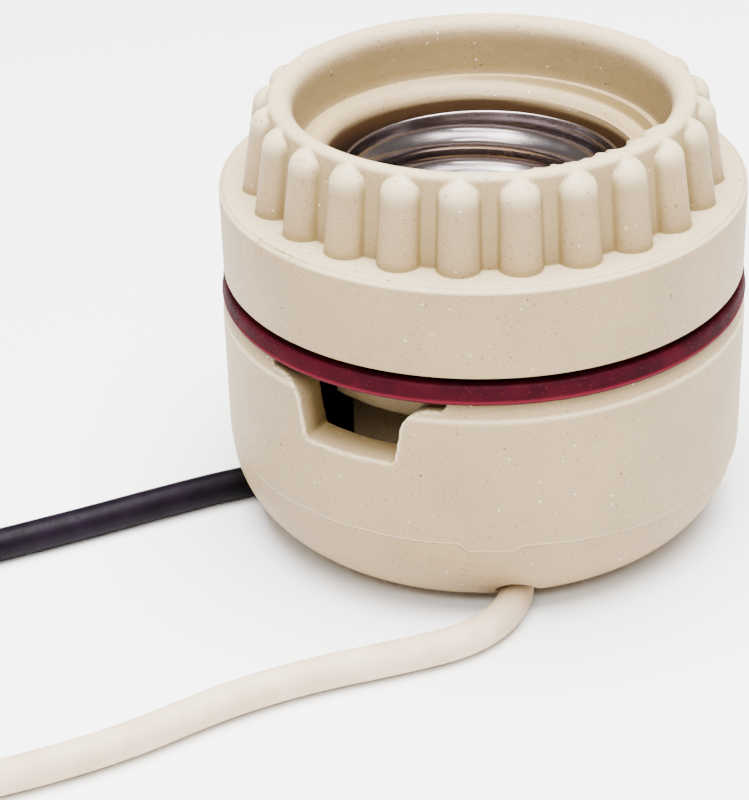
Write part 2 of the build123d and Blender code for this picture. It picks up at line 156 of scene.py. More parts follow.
# Socket core
NECK_RADIUS = 17.55 * MM
CORE_BORE = 15.2 * MM
CORE_COLLAR_RADIUS = 19.0 * MM
CORE_COLLAR_BOTTOM = SEAT_HEIGHT - 5.6 * MM
BARREL_RADIUS = 17.4 * MM
CORE_LEDGE_TOP = 18.0 * MM
CORE_WELL_RADIUS = 9.0 * MM
CORE_FLOOR_TOP = 14.0 * MM
CORE_FLOOR_BOTTOM = 10.2 * MM
CORE_RECESS_RADIUS = 13.6 * MM
GROOVE_FLOOR = 16.3 * MM
GROOVE_WIDTH = 6.0 * MM
GROOVE_ANGLE = math.radians(-116.5)
PASSAGE_FLOOR = 12.4 * MM
PASSAGE_TOP = 17.2 * MM
WINDOW_WIDTH = 4.4 * MM
RUN_OUT_STEP = 16.75 * MM
RUN_OUT_START = 185.5
RUN_OUT_SPAN = 130.0
RUN_OUT_DEPTH = 1.05 * MM
RUN_OUT_FADE = 25.0
CORE_SIDES = 320

# Screw shell
SHELL_SHEET = 0.4 * MM
SHELL_PITCH = 3.63 * MM
SHELL_WAVE = 1.05 * MM
SHELL_WAVE_TURN = 1.2
SHELL_CORNER = 0.8 * MM
SHELL_FLOOR_HOLE = 8.4 * MM
SHELL_SIDES = 240

# Leads
LEAD_RADIUS = 1.6 * MM
EXIT_HOLE_RADIUS = 1.95 * MM
EXIT_HOLE_OVERRUN = 1.5 * MM
CHANNEL_RADIUS = 1.85 * MM
CHANNEL_HEIGHT = 1.9 * MM
CHANNEL_LENGTH = 8.0 * MM
BLACK_EXIT_ANGLE = math.radians(-149.0)
WHITE_EXIT_ANGLE = math.radians(-50.9)
LEAD_START = 12.1 * MM
LEAD_BEND_IN = 16.0 * MM
LEAD_BEND_OUT = 20.9 * MM
LEAD_HEIGHT_INSIDE = 8.4 * MM
LEAD_HEIGHT_ON_TABLE = 1.65 * MM
BLACK_TABLE_POINTS = [
    (-21.3, -14.6), (-25.4, -20.6), (-31.0, -29.4), (-38.6, -40.4), (-50.5, -50.5), (-65.8, -56.2),
    (-82.8, -55.6), (-98.2, -48.4), (-109.2, -35.6), (-114.4, -20.2),
]
WHITE_TABLE_POINTS = [
    (14.5, -21.2), (13.4, -26.6), (9.2, -32.0), (3.6, -38.3), (-1.2, -45.6), (-6.0, -56.5),
    (-15.5, -69.0), (-29.5, -79.0), (-46.5, -84.2), (-63.8, -82.6), (-77.8, -76.0),
]

# Camera, from the outlines of the photographed object
EYE = Vector((103.95, -183.72, 130.96)) * MM
CAMERA_RIGHT = Vector((0.8515, 0.5237, -0.0274))
CAMERA_UP = Vector((-0.2397, 0.4352, 0.8679))
CAMERA_LENS = 108.0

# Lights: place, width and depth in metres, and power in watts
LIGHT_TARGET = (0, 0, 0.03)
LIGHTS = {
    "overhead_softbox": ((0.02, -0.02, 0.5), (0.45, 0.45), 19.5),
    "front_strip": ((0.174, -0.308, 0.384), (0.4, 0.09), 1.9),
}
SURROUND_COLOUR = (1.0, 0.985, 0.96, 1)
SURROUND_STRENGTH = 0.32
FLOOR_SIZE = 6.0

# Grain of the surfaces, in waves or cells for each metre
CLOUD_WAVES = 90.0
SWELL_WAVES = 700.0
GRAIN_WAVES = 5200.0
DARK_SPECK_CELLS = 620.0
FINE_SPECK_CELLS = 1500.0
PALE_SPECK_CELLS = 1300.0
DUST_CELLS = 4200.0
STAIN_WAVES = 260.0
TURNING_WAVES = 5000.0
SKIN_WAVES = 350.0
SCUFF_WAVES = 2400.0

# Height of that grain
PORCELAIN_BUMP = 0.045 * MM
GASKET_BUMP = 0.03 * MM
TURNING_BUMP = 0.004 * MM
SKIN_BUMP = 0.12 * MM

# Specks: how hard their edge is, and the smallest as a share of the given size
SPECK_EDGE = 14.0
SPECK_SMALLEST = 0.4

# Colours. An insulation has its own colour, its uneven shade and a painted shadow beside the cup.
PORCELAIN_BODY = (0.35, 0.252, 0.133, 1)
# Painted shade: the warm brown for creases, rib feet, hollows, the notch and the band under the gasket
PORCELAIN_SHADE = (0.215, 0.148, 0.042, 1)
# Painted highlight: lighter cream for sharp edges, rib domes, the lip and the flange's top face
PORCELAIN_HIGHLIGHT = (0.8, 0.7, 0.46, 1)
GRAIN_TINT = (0.86, 0.8, 0.7, 1)
LOWER_HALF_TINT = (0.94, 0.9, 0.88, 1)
# Painted highlight along the upper edge of the parting line
PARTING_HIGHLIGHT = (0.8, 0.7, 0.55, 1)
DARK_SPECK = (0.06, 0.04, 0.018, 1)
FINE_SPECK = (0.17, 0.11, 0.05, 1)
PALE_SPECK = (0.85, 0.76, 0.6, 1)
# Painted deep shade: brown, then near black, for the core's ways, its bore and the notch's left wall
DEEP_SHADE_BROWN = (0.06, 0.028, 0.009, 1)
DEEP_SHADE_BLACK = (0.004, 0.003, 0.004, 1)
MAROON_DARK = (0.017, 0.0007, 0.003, 1)
MAROON_LIGHT = (0.034, 0.0012, 0.005, 1)
MAROON_DUST = (0.2, 0.03, 0.045, 1)
MAROON_EDGE = (0.1, 0.006, 0.014, 1)
SHELL_COLOUR = (0.27, 0.235, 0.24, 1)
SHELL_STAIN = (0.15, 0.1, 0.085, 1)
BRASS_COLOUR = (0.7, 0.5, 0.22, 1)
BRASS_STAIN = (0.3, 0.18, 0.07, 1)
STEEL_COLOUR = (0.6, 0.59, 0.57, 1)
STEEL_STAIN = (0.25, 0.2, 0.15, 1)
COPPER_COLOUR = (0.75, 0.33, 0.18, 1)
COPPER_STAIN = (0.35, 0.14, 0.07, 1)
# The third colour of each insulation is its painted shadow beside the cup
BLACK_COLOURS = ((0.0025, 0.0012, 0.0032, 1), (0.0055, 0.0025, 0.007, 1), (0.002, 0.0015, 0.002, 1))
WHITE_COLOURS = ((0.62, 0.5, 0.35, 1), (0.55, 0.43, 0.29, 1), (0.28, 0.18, 0.09, 1))
FLOOR_COLOUR = (0.93, 0.93, 0.925, 1)


# Shader helpers

def add_node(tree, kind, inputs=None, **settings):
    """Adds a shader node. An input given as another node's output is linked to it."""
    made = tree.nodes.new(kind)
    for name, value in settings.items():
        setattr(made, name, value)
    for key, value in (inputs or {}).items():
        if isinstance(value, bpy.types.NodeSocket):
            tree.links.new(value, made.inputs[key])
        else:
            made.inputs[key].default_value = value
    return made


def mix_colours(tree, share, first, second, blend="MIX"):
    """Mixes two colours by a share and gives the result's socket."""
    made = add_node(
        tree, "ShaderNodeMix", {0: share, 6: first, 7: second}, data_type="RGBA", blend_type=blend
    )
    return made.outputs[2]


def tinted(tree, colour, mask, share, tint, blend="MIX"):
    """The colour, taken towards a tint by a share of a mask."""
    return mix_colours(tree, arithmetic(tree, "MULTIPLY", mask, share), colour, tint, blend)


def arithmetic(tree, operation, first, second=0.0, third=0.0):
    """One step of arithmetic on values or sockets."""
    made = add_node(tree, "ShaderNodeMath", {0: first, 1: second, 2: third}, operation=operation)
    return made.outputs[0]


def ramp_between(tree, value, low, high, to_low=0.0, to_high=1.0):
    """Maps a value from one range to another, clamped and eased."""
    made = add_node(
        tree,
        "ShaderNodeMapRange",
        {0: value, 1: low, 2: high, 3: to_low, 4: to_high},
        interpolation_type="SMOOTHSTEP",
    )
    return made.outputs[0]


def noise_value(tree, place, scale, detail=3.0, roughness=0.55):
    """Noise of a scale in waves per metre."""
    made = add_node(
        tree,
        "ShaderNodeTexNoise",
        {"Vector": place, "Scale": scale, "Detail": detail, "Roughness": roughness},
    )
    return made.outputs[0]


def new_group(name, ins, outs):
    """Node group with named inputs and outputs, and its own input and output nodes."""
    group = bpy.data.node_groups.new(name, "ShaderNodeTree")
    for socket_name, kind, value in ins:
        socket = group.interface.new_socket(name=socket_name, in_out="INPUT", socket_type=kind)
        socket.default_value = value
    for socket_name, kind in outs:
        group.interface.new_socket(name=socket_name, in_out="OUTPUT", socket_type=kind)
    return group, group.nodes.new("NodeGroupInput"), group.nodes.new("NodeGroupOutput")


def new_material(name, **constants):
    """Material with one Principled shader. Returns the material, its tree and the shader."""
    material = bpy.data.materials.new(name)
    material.use_nodes = True
    tree = material.node_tree
    shader = tree.nodes["Principled BSDF"]
    for socket_name, value in constants.items():
        shader.inputs[socket_name.replace("_", " ")].default_value = value
    return material, tree, shader


def object_place(tree):
    """Place on the piece, in metres."""
    return add_node(tree, "ShaderNodeTexCoord").outputs["Object"]


def stored(tree, name):
    """Value that the piece's mesh stores under a name, and 0 where it stores none."""
    return add_node(tree, "ShaderNodeAttribute", attribute_name=name).outputs["Fac"]


def bump_from(tree, height, distance, strength=1.0):
    """Normal that follows a height."""
    made = add_node(
        tree, "ShaderNodeBump", {"Height": height, "Distance": distance, "Strength": strength}
    )
    return made.outputs[0]


def plug_in(tree, shader, colour, rough, normal):
    """Feeds the shader its colour, its roughness and its normal."""
    for name, socket in (("Base Color", colour), ("Roughness", rough), ("Normal", normal)):
        tree.links.new(socket, shader.inputs[name])


def build_speck_group():
    """Sparse round specks: one in some of the cells of a Voronoi pattern."""
    group, given, result = new_group(
        "fired_specks",
        [
            ("Place", "NodeSocketVector", (0, 0, 0)),
            ("Scale", "NodeSocketFloat", 1500.0),
            ("Size", "NodeSocketFloat", 0.2),
            ("Rarity", "NodeSocketFloat", 0.8),
        ],
        [("Mask", "NodeSocketFloat")],
    )
    cells = add_node(
        group,
        "ShaderNodeTexVoronoi",
        {"Vector": given.outputs["Place"], "Scale": given.outputs["Scale"], "Randomness": 1.0},
    )
    split = add_node(group, "ShaderNodeSeparateColor", {0: cells.outputs["Color"]})
    chosen = arithmetic(group, "GREATER_THAN", split.outputs[0], given.outputs["Rarity"])
    size_share = arithmetic(group, "ADD", split.outputs[1], SPECK_SMALLEST)
    size = arithmetic(group, "MULTIPLY", given.outputs["Size"], size_share)
    inside = arithmetic(group, "SUBTRACT", size, cells.outputs["Distance"])
    soft = arithmetic(group, "MULTIPLY", inside, SPECK_EDGE)
    shown = add_node(group, "ShaderNodeClamp", {0: soft}).outputs[0]
    mask = arithmetic(group, "MULTIPLY", chosen, shown)
    group.links.new(mask, result.inputs["Mask"])
    return group


def specks(tree, place, scale, size, rarity):
    """Places the speck group and gives its mask."""
    made = add_node(tree, "ShaderNodeGroup", node_tree=SPECKS)
    tree.links.new(place, made.inputs["Place"])
    made.inputs["Scale"].default_value = scale
    made.inputs["Size"].default_value = size
    made.inputs["Rarity"].default_value = rarity
    return made.outputs["Mask"]


SPECKS = build_speck_group()


def porcelain_material(name, body, shade_colour):
    """Fired porcelain: grain, specks, painted warm shade in the hollows, painted deep shade in the ways
    inside, painted highlights on edges and tops, and the mould's parting line with a painted highlight.
    """
    material, tree, shader = new_material(
        name,
        Roughness=0.5,
        Specular_IOR_Level=0.35,
        Subsurface_Weight=0.1,
        Subsurface_Radius=(1.2 * MM, 0.8 * MM, 0.45 * MM),
        Subsurface_Scale=1.0,
    )
    place = object_place(tree)
    cloud = noise_value(tree, place, CLOUD_WAVES, 2.0)
    grain = noise_value(tree, place, GRAIN_WAVES, 4.0, 0.75)
    light = tuple(min(1.0, value * 1.05) for value in body[:3]) + (1.0,)
    dark = tuple(value * 0.93 for value in body[:3]) + (1.0,)
    colour = mix_colours(tree, ramp_between(tree, cloud, 0.35, 0.65), dark, light)
    grain_shade = ramp_between(tree, grain, 0.4, 0.6)
    colour = tinted(tree, colour, grain_shade, 0.9, GRAIN_TINT, "MULTIPLY")
    seam = stored(tree, "seam")
    below_seam = ramp_between(tree, seam, *SEAM_STEP, 1.0, 0.0)
    has_seam = ramp_between(tree, seam, 0.0, 0.02)
    lower_half = arithmetic(tree, "MULTIPLY", below_seam, has_seam)
    colour = tinted(tree, colour, lower_half, 0.6, LOWER_HALF_TINT, "MULTIPLY")
    # Painted highlight just above the parting line
    above_line = ramp_between(tree, seam, *SEAM_EDGE)
    under_top = ramp_between(tree, seam, *SEAM_FADE, 1.0, 0.0)
    seam_highlight = arithmetic(tree, "MULTIPLY", above_line, under_top)
    colour = tinted(tree, colour, seam_highlight, 0.3, PARTING_HIGHLIGHT)
    # Painted highlight on edges and tops, by the stored share
    colour = tinted(tree, colour, stored(tree, "worn"), 0.55, PORCELAIN_HIGHLIGHT)
    # Painted shade: the stored share takes the colour to the warm shade colour in creases and hollows
    colour = mix_colours(tree, stored(tree, "hollow"), colour, shade_colour)
    dark_specks = specks(tree, place, DARK_SPECK_CELLS, size=0.09, rarity=0.5)
    colour = tinted(tree, colour, dark_specks, 0.9, DARK_SPECK)
    fine_specks = specks(tree, place, FINE_SPECK_CELLS, size=0.18, rarity=0.3)
    colour = tinted(tree, colour, fine_specks, 0.65, FINE_SPECK)
    pale_specks = specks(tree, place, PALE_SPECK_CELLS, size=0.15, rarity=0.8)
    colour = tinted(tree, colour, pale_specks, 0.5, PALE_SPECK)
    # Painted deep shade, brown and then near black, where the stored share is high
    soot = stored(tree, "soot")
    colour = mix_colours(tree, ramp_between(tree, soot, 0.0, 0.5), colour, DEEP_SHADE_BROWN)
    colour = mix_colours(tree, ramp_between(tree, soot, 0.5, 1.0), colour, DEEP_SHADE_BLACK)
    rough = ramp_between(tree, grain, 0.3, 0.7, 0.42, 0.62)
    height = arithmetic(tree, "MULTIPLY_ADD", dark_specks, -0.8, grain)
    height = arithmetic(tree, "MULTIPLY_ADD", noise_value(tree, place, SWELL_WAVES), 1.3, height)
    height = arithmetic(tree, "MULTIPLY_ADD", lower_half, -5.0, height)
    plug_in(tree, shader, colour, rough, bump_from(tree, height, PORCELAIN_BUMP, 0.9))
    return material


def gasket_material():
    """Maroon rubber washer with a dusty grain and a lighter line on its cut edge."""
    material, tree, shader = new_material("maroon_rubber", Roughness=0.6, Specular_IOR_Level=0.05)
    place = object_place(tree)
    grain = noise_value(tree, place, GRAIN_WAVES, 3.0, 0.7)
    cloud = noise_value(tree, place, STAIN_WAVES, 3.0)
    colour = mix_colours(tree, ramp_between(tree, cloud, 0.3, 0.7), MAROON_DARK, MAROON_LIGHT)
    dust = specks(tree, place, DUST_CELLS, size=0.3, rarity=0.7)
    colour = tinted(tree, colour, dust, 0.15, MAROON_DUST)
    colour = mix_colours(tree, stored(tree, "edge_line"), colour, MAROON_EDGE)
    rough = ramp_between(tree, grain, 0.3, 0.7, 0.5, 0.75)
    plug_in(tree, shader, colour, rough, bump_from(tree, grain, GASKET_BUMP, 0.8))
    return material


def metal_material(name, colour, stain_and_shadow, roughness, stain_share):
    """Drawn or pressed metal with fine turning marks and dull stains."""
    material, tree, shader = new_material(name, Metallic=1.0, Roughness=roughness)
    place = object_place(tree)
    stretched = add_node(tree, "ShaderNodeMapping", {"Vector": place, "Scale": (0.15, 0.15, 1.0)})
    marks = noise_value(tree, stretched.outputs[0], TURNING_WAVES, 3.0)
    cloud = noise_value(tree, place, STAIN_WAVES, 3.0, 0.5)
    mask = arithmetic(tree, "MULTIPLY", ramp_between(tree, cloud, 0.35, 0.75), stain_share)
    mixed = mix_colours(tree, mask, colour, stain_and_shadow)
    rough = arithmetic(tree, "MULTIPLY_ADD", mask, 0.25, roughness)
    rough = arithmetic(tree, "MULTIPLY_ADD", marks, 0.08, rough)
    plug_in(tree, shader, mixed, rough, bump_from(tree, marks, TURNING_BUMP, 0.4))
    return material


def insulation_material(name, colour, shade, stain_and_shadow, roughness, gloss):
    """Soft plastic insulation: faint scuffs, an uneven skin and a painted brown shadow beside the cup."""
    material, tree, shader = new_material(name, Roughness=roughness, Specular_IOR_Level=gloss)
    place = object_place(tree)
    cloud = noise_value(tree, place, SKIN_WAVES, 3.0)
    scuffs = noise_value(tree, place, SCUFF_WAVES, 4.0, 0.7)
    mixed = mix_colours(tree, ramp_between(tree, cloud, 0.35, 0.7), colour, shade)
    from_axis = add_node(tree, "ShaderNodeVectorMath", {0: place}, operation="LENGTH").outputs["Value"]
    # Painted shadow of the cup on the lead, fading out a few millimetres past the cup's side
    cup_shadow = ramp_between(tree, from_axis, CUP_RADIUS - 1.5 * MM, CUP_RADIUS + 4.5 * MM, 0.8, 0.0)
    mixed = mix_colours(tree, cup_shadow, mixed, stain_and_shadow)
    rough = ramp_between(tree, scuffs, 0.3, 0.75, roughness - 0.08, roughness + 0.12)
    plug_in(tree, shader, mixed, rough, bump_from(tree, cloud, SKIN_BUMP, 0.5))
    return material


def floor_material():
    """Plain pale floor."""
    return new_material("pale_floor", Roughness=0.7, Specular_IOR_Level=0.2, Base_Color=FLOOR_COLOUR)[0]


PORCELAIN = porcelain_material("fired_porcelain", PORCELAIN_BODY, PORCELAIN_SHADE)
GASKET_RUBBER = gasket_material()
SHELL_METAL = metal_material(
    "dulled_shell_metal", SHELL_COLOUR, SHELL_STAIN, roughness=0.15, stain_share=0.35
)
CONTACT_BRASS = metal_material("contact_brass", BRASS_COLOUR, BRASS_STAIN, roughness=0.3, stain_share=0.4)
PLATED_STEEL = metal_material("plated_steel", STEEL_COLOUR, STEEL_STAIN, roughness=0.3, stain_share=0.3)
COPPER = metal_material("bare_copper", COPPER_COLOUR, COPPER_STAIN, roughness=0.3, stain_share=0.4)
BLACK_SKIN = insulation_material("black_insulation", *BLACK_COLOURS, roughness=0.45, gloss=0.06)
WHITE_SKIN = insulation_material("white_insulation", *WHITE_COLOURS, roughness=0.45, gloss=0.18)


# Modelling helpers

def deselect_all():
    """Leaves nothing selected, in object mode."""
    bpy.ops.object.select_all(action="DESELECT")


def select_only(piece):
    """Makes a piece the selected and active one."""
    deselect_all()
    piece.select_set(True)
    bpy.context.view_layer.objects.active = piece


def dressed(piece, material, body, replaced=()):
    """Gives a finished piece its material, its body and the nodes that it stands for."""
    piece.data.materials.clear()
    piece.data.materials.append(material)
    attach(piece, body)
    if replaced:
        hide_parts(*replaced)
    return piece


def rounded_outline(corners, steps=6):
    """Closed outline of (radius, height, round) corners, where a round becomes an arc of some steps."""
    outline = []
    count = len(corners)
    for index, (radius, height, round_size) in enumerate(corners):
        here = Vector((radius, height))
        if round_size <= 0:
            outline.append(here)
            continue
        before = Vector(corners[index - 1][:2])
        after = Vector(corners[(index + 1) % count][:2])
        towards = (before - here).normalized()
        away = (after - here).normalized()
        half = towards.angle(away) / 2
        reach = round_size / math.tan(half)
        centre = here + (towards + away).normalized() * (round_size / math.sin(half))
        start = here + towards * reach - centre
        end = here + away * reach - centre
        sweep = math.pi - 2 * half
        side = 1 if start.x * end.y - start.y * end.x > 0 else -1
        for step in range(steps + 1):
            turn = side * sweep * step / steps
            spoke = Vector(
                (
                    start.x * math.cos(turn) - start.y * math.sin(turn),
                    start.x * math.sin(turn) + start.y * math.cos(turn),
                )
            )
            outline.append(centre + spoke)
    return outline


def divided(outline, longest_at):
    """The outline with its straight stretches cut into runs, as long as the place along it allows."""
    made = []
    for index, here in enumerate(outline):
        after = outline[(index + 1) % len(outline)]
        pieces = max(1, math.ceil((after - here).length / longest_at((here + after) / 2)))
        for step in range(pieces):
            made.append(here.lerp(after, step / pieces))
    return made


def turned(name, outline, sides):
    """Turned piece: a circle that is extruded and scaled along a closed outline of radius and height."""
    deselect_all()
    radius, height = outline[0]
    bpy.ops.mesh.primitive_circle_add(vertices=sides, radius=radius, location=(0, 0, 0))
    piece = bpy.context.object
    piece.name = name
    piece.data.name = name
    bpy.ops.object.mode_set(mode="EDIT")
    bpy.ops.mesh.select_all(action="SELECT")
    bpy.ops.transform.translate(value=(0, 0, height))
    for next_radius, next_height in list(outline[1:]) + [outline[0]]:
        bpy.ops.mesh.extrude_region_move(
            TRANSFORM_OT_translate={"value": (0, 0, next_height - height)}
        )
        share = next_radius / radius
        bpy.ops.transform.resize(value=(share, share, 1))
        radius, height = next_radius, next_height
    bpy.ops.mesh.select_all(action="SELECT")
    bpy.ops.mesh.remove_doubles(threshold=0.002 * MM)
    bpy.ops.mesh.normals_make_consistent(inside=False)
    bpy.ops.object.mode_set(mode="OBJECT")
    return piece


def smooth_shaded(piece, angle):
    """Smooth shading that keeps the edges sharper than an angle."""
    select_only(piece)
    bpy.ops.object.shade_smooth_by_angle(angle=math.radians(angle))


def apply_modifiers(piece):
    """Applies all the modifiers of a piece in their order."""
    select_only(piece)
    for modifier in list(piece.modifiers):
        bpy.ops.object.modifier_apply(modifier=modifier.name)


def cut_with(piece, cutters):
    """Cuts the cutters out of a piece and removes them."""
    for cutter in cutters:
        modifier = piece.modifiers.new("cut", "BOOLEAN")
        modifier.operation = "DIFFERENCE"
        modifier.solver = "EXACT"
        modifier.object = cutter
    apply_modifiers(piece)
    for cutter in cutters:
        bpy.data.objects.remove(cutter)


def softened(piece, voxel, rounds, share):
    """Melts the edges of a piece as a fired one has them: fine voxels, some smoothing, then fewer faces."""
    remesh = piece.modifiers.new("melt", "REMESH")
    remesh.mode = "VOXEL"
    remesh.voxel_size = voxel
    smooth = piece.modifiers.new("soften", "SMOOTH")
    smooth.factor = 0.5
    smooth.iterations = rounds
    thin = piece.modifiers.new("thin", "DECIMATE")
    thin.ratio = share
    apply_modifiers(piece)


def prism(name, outline, start, length, turn=0.0):
    """Block with an outline of (across, height) points, extruded away from the axis and turned about it."""
    deselect_all()
    bpy.ops.mesh.primitive_circle_add(vertices=len(outline), radius=MM, fill_type="NGON")
    block = bpy.context.object
    block.name = name
    for vertex, (across, height) in zip(block.data.vertices, outline):
        vertex.co = (across, -start, height)
    bpy.ops.object.mode_set(mode="EDIT")
    bpy.ops.mesh.select_all(action="SELECT")
    bpy.ops.mesh.extrude_region_move(TRANSFORM_OT_translate={"value": (0, -length, 0)})
    bpy.ops.mesh.select_all(action="SELECT")
    bpy.ops.mesh.normals_make_consistent(inside=False)
    bpy.ops.transform.rotate(value=-turn, orient_axis="Z", center_override=(0, 0, 0))
    bpy.ops.object.mode_set(mode="OBJECT")
    return block


def block_outline(width, low, high):
    """Outline of an upright rectangle, as (across, height) points."""
    return [(-width / 2, low), (width / 2, low), (width / 2, high), (-width / 2, high)]


def rod_cutter(name, start, end, radius):
    """Round rod between two points."""
    deselect_all()
    middle = (start + end) / 2
    direction = end - start
    bpy.ops.mesh.primitive_cylinder_add(vertices=48, radius=radius, depth=direction.length, location=middle)
    rod = bpy.context.object
    rod.name = name
    rod.rotation_mode = "QUATERNION"
    rod.rotation_quaternion = direction.to_track_quat("Z", "Y")
    bpy.ops.object.transform_apply(location=True, rotation=True, scale=True)
    return rod


def on_ray(angle, radius, height):
    """Point at a distance from the axis, on the ray that leaves it at an angle."""
    return Vector((radius * math.cos(angle), radius * math.sin(angle), height))


def polar(place):
    """Angle of a place round the axis, and its distance from the axis."""
    return math.atan2(place.y, place.x), math.hypot(place.x, place.y)


def clamp(value, low=0.0, high=1.0):
    """Keeps a value within limits."""
    return max(low, min(high, value))


def ease(value):
    """Smooth step from 0 to 1."""
    share = clamp(value)
    return share * share * (3 - 2 * share)


def blended_max(first, second, width):
    """Larger of two values, with a round where they meet."""
    overlap = max(width - abs(first - second), 0.0) / width
    return max(first, second) + overlap * overlap * width / 4


def set_attributes(piece, **lists):
    """Stores lists of one value for each vertex under their names."""
    for name, values in lists.items():
        attribute = piece.data.attributes.new(name, "FLOAT", "POINT")
        attribute.data.foreach_set("value", values)


def worn_edges(piece):
    """How much painted highlight each vertex gets: 0 where the mesh bends gently and 1 on its sharp outer
    edges.
    """
    vertices = piece.data.vertices
    bends = [0.0] * len(vertices)
    counts = [0] * len(vertices)
    for edge in piece.data.edges:
        first, second = edge.vertices
        run = vertices[second].co - vertices[first].co
        square = max(run.length_squared, 1e-12)
        bends[first] -= 2 * run.dot(vertices[first].normal) / square
        bends[second] += 2 * run.dot(vertices[second].normal) / square
        counts[first] += 1
        counts[second] += 1
    span = SHARP_BEND - GENTLE_BEND
    return [ease((bend / max(count, 1) - GENTLE_BEND) / span) for bend, count in zip(bends, counts)]


# Clamp ring

def rib_section(height):
    """Distance of the nearest rib's axis from the ring's axis, and half the rib's width, at a height."""
    dome_height = RING_TOP - RIB_DROP - RIB_DOME_RADIUS
    share = clamp((height - FLANGE_TOP) / (dome_height - FLANGE_TOP))
    axis_radius = RIB_FOOT_AXIS - RIB_LEAN * share
    radius = RIB_FOOT_RADIUS + (RIB_DOME_RADIUS - RIB_FOOT_RADIUS) * share
    rise = max(0.0, height - dome_height)
    return axis_radius, math.sqrt(max(0.0, radius**2 - rise**2))


def rib_offset(angle):
    """Angle from the middle of the nearest rib."""
    turn = (angle - RIB_PHASE) / RIB_STEP
    return (turn - round(turn)) * RIB_STEP


def rib_reach(offset, height):
    """Radius of the rib's surface at an angle from its middle, falling away steeply beside the rib."""
    axis_radius, half = rib_section(height)
    if half <= 0:
        return 0.0
    side = abs(axis_radius * math.sin(offset))
    if side >= half:
        return axis_radius * math.cos(offset) - CREASE_SLOPE * (side - half)
    return axis_radius * math.cos(offset) + math.sqrt(half**2 - side**2)


def crease_angle(height, collar_radius):
    """Angle from the middle of a rib to the line where its side meets the collar."""
    axis_radius, half = rib_section(height)
    cosine = (collar_radius**2 + axis_radius**2 - half**2) / (2 * collar_radius * axis_radius)
    if cosine < 1:
        return math.acos(cosine)
    return math.asin(half / axis_radius)


def gathered_offset(offset, crease):
    """Moves a column of the even mesh so that the columns gather at the sides of the rib."""
    share = abs(offset) / (RIB_STEP / 2)
    if share < COLUMNS_ON_RIB:
        moved = crease * math.sin(math.pi / 2 * share / COLUMNS_ON_RIB)
    else:
        rest = (share - COLUMNS_ON_RIB) / (1 - COLUMNS_ON_RIB)
        moved = crease + (RIB_STEP / 2 - crease) * rest
    return math.copysign(moved, offset)


def thread_wave(angle, height, lead):
    """Rounded thread profile from 0 in the groove to 1 on the ridge."""
    phase = height / lead - angle / (2 * math.pi)
    return 0.5 + 0.5 * math.cos(2 * math.pi * phase)


def ragged(angle, limits, crumbs_per_degree):
    """Broken edge between two angles in degrees: 0 outside them, and up to 1 on its crumbs."""
    start, end = limits
    splinters_per_degree = 0.9
    fade = 3.0
    degrees = math.degrees(angle)
    if not start < degrees < end:
        return 0.0
    ends = ease((degrees - start) / fade) * ease((end - degrees) / fade)
    crumbs = abs(noise.noise(Vector((degrees * crumbs_per_degree, 0.5, 1.5)))) * 1.3
    splinters = abs(noise.noise(Vector((degrees * splinters_per_degree, 4.5, 2.5)))) * 0.7
    return ends * clamp(crumbs + splinters)


def ring_run(place):
    """Longest run of the ring's outline at a place: short where the ribs and the rough edges are."""
    if place.x < RING_BORE + TOUCH:
        return 0.55 * MM
    if place.y > FLANGE_TOP + TOUCH:
        return 0.27 * MM
    if place.y > FLANGE_TOP - TOUCH:
        return 0.4 * MM
    return 1.3 * MM


def on_ribs(angle, radius, height, on_collar):
    """Takes a vertex of the collar or of the flange's upper face to its place between or on the ribs.

    Gives its angle and radius there, and its painted shade and its painted highlight.
    """
    dome_top = RING_TOP - RIB_DROP
    face_end = FLANGE_RADIUS - FLANGE_ROUND
    offset = rib_offset(angle)
    foot_radius = radius if on_collar else COLLAR_FOOT_RADIUS
    crease = crease_angle(min(height, dome_top - TOUCH), foot_radius)
    face_share = (radius - COLLAR_FOOT_RADIUS) / (face_end - COLLAR_FOOT_RADIUS)
    gathering = ease((dome_top - height) / (0.8 * MM)) if on_collar else 1 - ease(face_share)
    turn = (gathered_offset(offset, crease) - offset) * gathering
    angle += turn
    offset += turn
    grown = blended_max(foot_radius, rib_reach(offset, height), RIB_FILLET)
    if not on_collar:
        # Painted shade on the flange face at the ribs' foot, and a painted highlight over the whole face
        hollow = 0.75 * (1 - ease((face_share * (face_end - COLLAR_FOOT_RADIUS)) / (0.45 * MM)))
        return angle, grown + face_share * (face_end - grown), hollow, 0.5
    from_crease = abs(abs(offset) - crease) * grown
    low_end = ease(1 - (height - FLANGE_TOP) / (0.8 * MM))
    high_end = ease((RING_TOP - 0.7 * MM - height) / (1.6 * MM))
    beside_rib = float(abs(offset) > crease)
    # Painted shade in the creases, beside the ribs and at their foot; painted highlight on the dome tops and
    # the lip
    in_crease = (1 - ease(from_crease / (0.35 * MM))) * 0.8 * high_end
    hollow = max(in_crease, 0.25 * high_end * beside_rib, 0.6 * low_end)
    on_dome = ease((height - dome_top + 2.6 * MM) / (1.8 * MM)) * (1 - beside_rib)
    on_lip = ease((height - RING_TOP + 0.6 * MM) / (0.4 * MM))
    return angle, grown, hollow, max(0.8 * on_dome, 0.6 * on_lip)


def on_broken_lip(angle, radius, height):
    """Breaks crumbs out of the lip's inner round. Gives the radius, the height and its painted highlight."""
    round_share = (height - RING_TOP + LIP_INNER_ROUND) / LIP_INNER_ROUND
    crumb = ragged(angle, BROKEN_LIP, 0.45) * math.sin(math.pi * clamp(round_share))
    raised = height + CRUMB_RISE * crumb * (1 - round_share)
    return radius - CRUMB_DEPTH * crumb, raised, 0.6 * ease(round_share)


